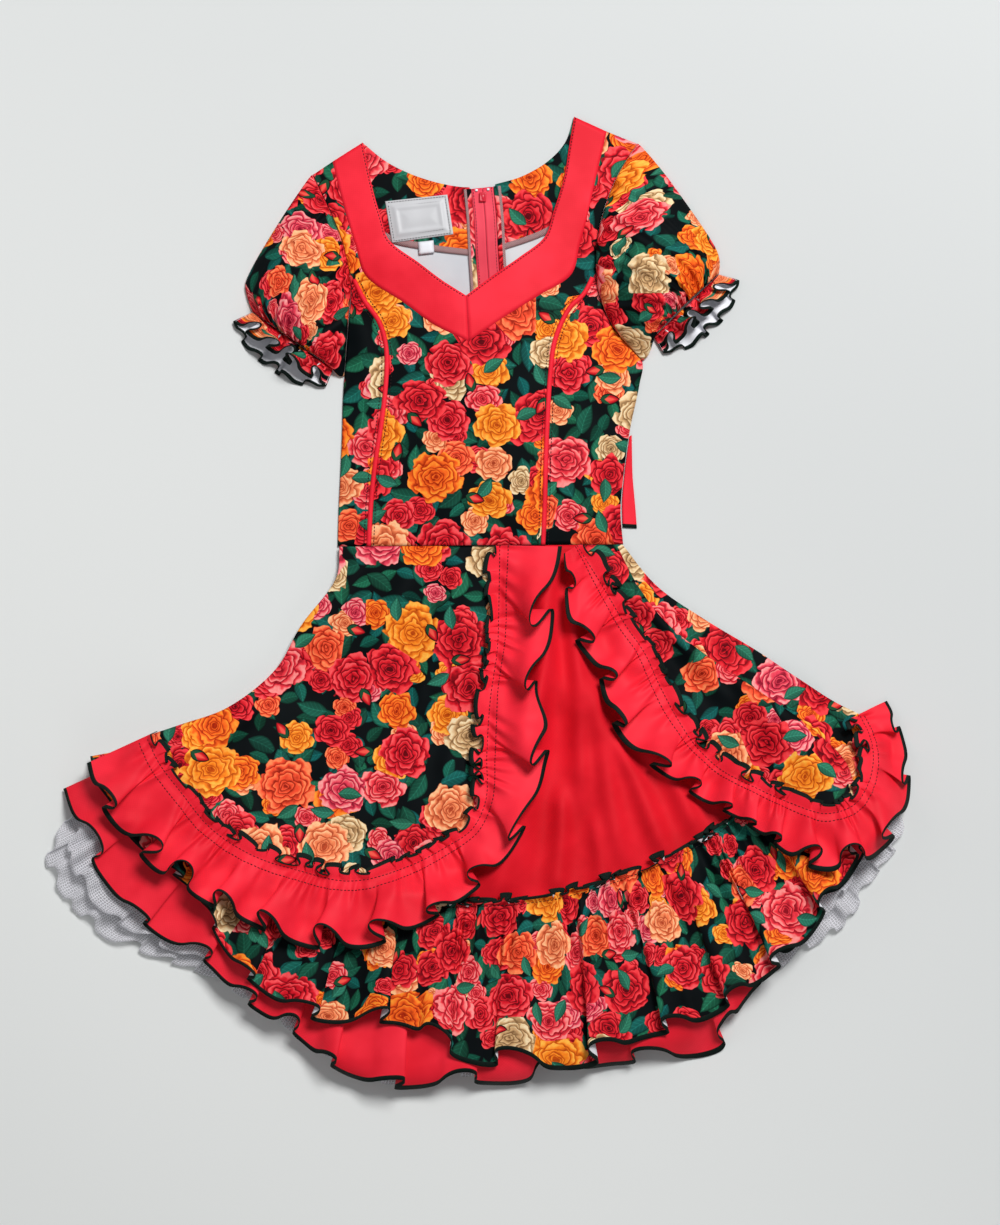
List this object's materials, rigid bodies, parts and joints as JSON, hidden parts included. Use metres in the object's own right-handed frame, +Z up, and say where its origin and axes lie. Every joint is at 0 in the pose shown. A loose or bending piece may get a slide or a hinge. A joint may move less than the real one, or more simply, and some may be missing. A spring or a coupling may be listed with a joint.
{
  "type": "girls dress",
  "caption": "Girls' dress laid flat: fitted dropped-waist bodice, puffed sleeves, coral neck band, open printed overlays edged with ruffles over a flounced skirt and net petticoat.",
  "frame": {"origin": "under the middle of the dress, on the surface that it lies on", "axes": "+X to the right of the dress as seen, +Y towards the neck, +Z up off the surface"},
  "size_m": [1.0028, 1.1254, 0.0701],
  "materials": {
    "print": "satin-backed woven cloth printed with roses and leaves on black, white on its reverse",
    "coral": "plain coral-red crepe with a soft sheen and black overlocked hems",
    "net": "white net with bound edges",
    "label": "grey satin with a stitched border, bare",
    "zip": "red woven zip tape with a painted slider"
  },
  "bodies": {
    "root": {"bodice_back_left": "print", "bodice_back_right": "print", "zip_tape_right": "zip", "zip_tape_left": "zip", "neck_facing_left": "print", "neck_facing_right": "print", "label": "label", "size_tag": "net", "zip_slider": "zip", "zip_stop_left": "net", "zip_stop_right": "net", "bodice_front_left": "print", "neck_band_left": "coral", "piping_left": "coral", "bodice_front_right": "print", "neck_band_right": "coral", "piping_right": "coral", "bodice_front_centre": "print", "sash_end": "coral", "sleeve_left": "print", "cuff_ruffle_left": "print", "sleeve_right": "print", "cuff_ruffle_right": "print", "overlay_back": "print", "skirt_back": "coral", "petticoat_back": "net", "petticoat_front": "net", "skirt_hem_tier": "coral", "skirt_front": "coral", "flounce_front": "print", "overlay_left": "print", "overlay_right": "print", "overlay_side_right": "print", "ruffle_left": "coral", "ruffle_right": "coral"}
  },
  "joints": []
}
